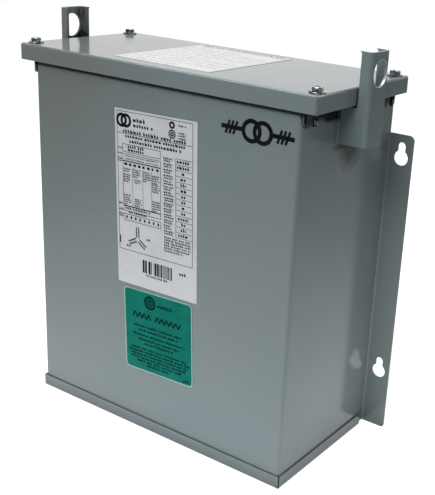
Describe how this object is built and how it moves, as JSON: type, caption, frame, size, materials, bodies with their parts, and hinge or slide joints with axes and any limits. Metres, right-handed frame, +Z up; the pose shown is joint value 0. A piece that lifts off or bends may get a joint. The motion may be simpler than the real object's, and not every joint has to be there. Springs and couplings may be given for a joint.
{
  "type": "wall mounted encapsulated transformer",
  "caption": "Box-shaped dry transformer potted in a sheet steel housing, with a screwed lid, lifting brackets and keyholed ears for hanging on a wall.",
  "frame": {"origin": "on the floor under the middle of the whole object, at the height of the base pan's underside", "axes": "+X to the right across the front, +Y from the front towards the wall, +Z up"},
  "size_m": [0.473, 0.2108, 0.5162],
  "materials": {
    "enamel": "semi-gloss grey enamel",
    "plated_steel": "bright zinc plate",
    "label_film": "white label film",
    "green_film": "green label film",
    "compound": "sand filled potting compound"
  },
  "bodies": {
    "root": {"housing_wrap": "enamel", "back_panel": "enamel", "base_pan": "enamel", "lid": "enamel", "lifting_bracket_left": "enamel", "lifting_bracket_right": "enamel", "screw_tab_front_left": "enamel", "screw_tab_front_right": "enamel", "screw_tab_rear_left": "enamel", "screw_tab_rear_right": "enamel", "lid_screw_front_left": "plated_steel", "lid_screw_front_right": "plated_steel", "lid_screw_rear_left": "plated_steel", "lid_screw_rear_right": "plated_steel", "lid_washer_front_left": "plated_steel", "lid_washer_front_right": "plated_steel", "lid_washer_rear_left": "plated_steel", "lid_washer_rear_right": "plated_steel", "weld_nut_front_left": "plated_steel", "weld_nut_front_right": "plated_steel", "weld_nut_rear_left": "plated_steel", "weld_nut_rear_right": "plated_steel", "data_label": "label_film", "lid_label": "label_film", "green_label": "green_film", "potted_block": "compound"}
  },
  "joints": []
}
